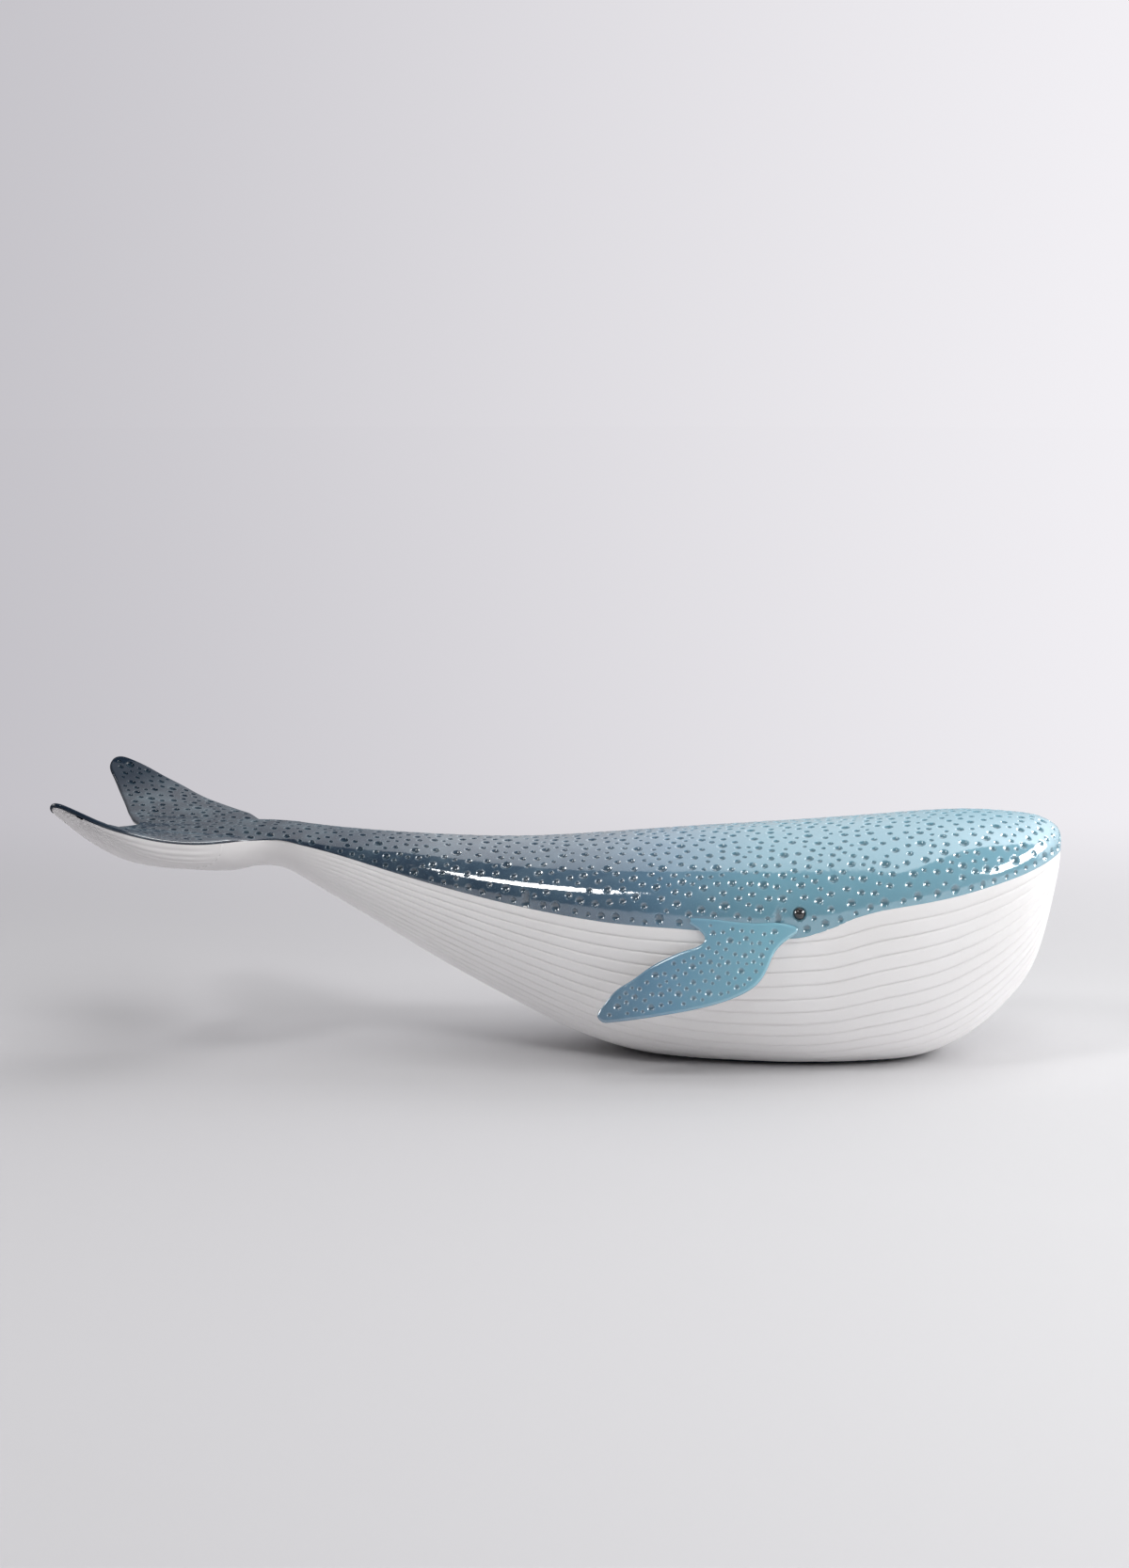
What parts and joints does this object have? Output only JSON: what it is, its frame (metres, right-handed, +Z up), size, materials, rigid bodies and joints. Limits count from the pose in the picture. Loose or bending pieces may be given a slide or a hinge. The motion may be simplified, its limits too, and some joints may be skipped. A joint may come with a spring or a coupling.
{
  "type": "whale figurine",
  "caption": "Resting ceramic whale ornament with a dimpled glazed back and flukes, a pleated bare belly, leaf-shaped side fins and a flat felt-padded base.",
  "frame": {"origin": "middle of the footprint, on the underside of the felt pad that it stands on", "axes": "+X towards the nose, +Y towards the whale's left side, +Z up"},
  "size_m": [0.4775, 0.1616, 0.132],
  "materials": {
    "blue_glaze": "glossy lustre glaze, steel blue at the head to slate navy at the flukes, dimpled",
    "white_bisque": "matt unglazed white porcelain with fine incised pleats",
    "black_glaze": "glossy black glaze",
    "navy_felt": "thin pressed wool felt",
    "black_rubber": "matt moulded rubber"
  },
  "bodies": {
    "root": {"back_shell": "blue_glaze", "belly_shell": "white_bisque", "fluke_upper_shell": "blue_glaze", "fluke_lower_shell": "white_bisque", "left_pectoral_fin": "blue_glaze", "right_pectoral_fin": "blue_glaze", "left_eye": "black_glaze", "right_eye": "black_glaze", "base_pad": "navy_felt", "vent_stopper": "black_rubber"}
  },
  "joints": []
}
